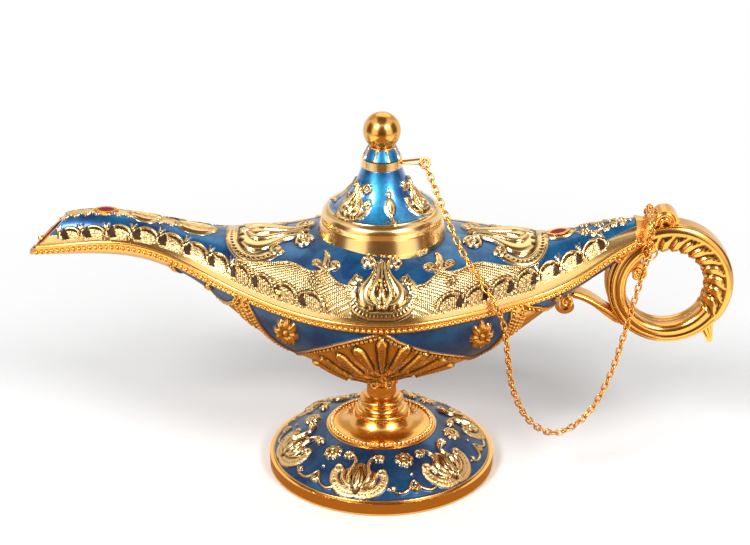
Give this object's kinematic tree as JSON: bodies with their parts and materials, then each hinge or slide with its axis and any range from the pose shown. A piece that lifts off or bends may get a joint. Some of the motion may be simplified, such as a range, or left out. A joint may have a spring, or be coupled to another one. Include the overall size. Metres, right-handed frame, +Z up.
{
  "type": "oil lamp",
  "caption": "Long-spouted oil lamp on a round foot, with enamelled gilt shells, a lift-off bell lid on a chain and a scrolled ring handle.",
  "frame": {"origin": "middle of the foot, on the surface that the lamp stands on", "axes": "+Z up, +X towards the handle and -X towards the spout, the lamp's upright middle plane is Y = 0"},
  "size_m": [0.2196, 0.0726, 0.1195],
  "materials": {
    "gold_plate": "polished gilt",
    "gilt_wire": "gilt wire",
    "blue_enamel": "glossy translucent enamel",
    "dark_enamel": "glossy dark blue-green enamel",
    "red_stone": "cut glass",
    "steel": "plain steel"
  },
  "bodies": {
    "root": {"foot": "gold_plate", "foot_enamel": "blue_enamel", "stem": "gold_plate", "stem_bolt": "steel", "foot_washer": "steel", "bowl_nut": "steel", "bowl_lower": "gold_plate", "bowl_upper": "gold_plate", "hull_enamel_spout": "dark_enamel", "hull_enamel_tail": "dark_enamel", "deck_enamel": "blue_enamel", "rim_band_front": "gold_plate", "rim_band_back": "gold_plate", "collar": "gold_plate", "bezel_spout": "gold_plate", "bezel_tail": "gold_plate", "stone_spout": "red_stone", "stone_tail": "red_stone", "handle": "gold_plate", "handle_strap": "gold_plate", "palmette_front": "gold_plate", "palmette_back": "gold_plate", "palmette_spout": "gold_plate", "palmette_tail": "gold_plate", "chain": "gilt_wire", "chain_loop": "gilt_wire", "chain_ring_handle": "gilt_wire"},
    "lid": {"lid": "gold_plate", "lid_enamel": "blue_enamel", "neck_enamel": "blue_enamel", "finial": "gold_plate", "lid_eye": "gilt_wire", "chain_ring_lid": "gilt_wire"}
  },
  "joints": [
    {"name": "lid_lift", "type": "slide", "parent": "root", "child": "lid", "axis": [0, 0, 1], "range_m": [0, 0.04], "deforming": ["chain"]}
  ]
}
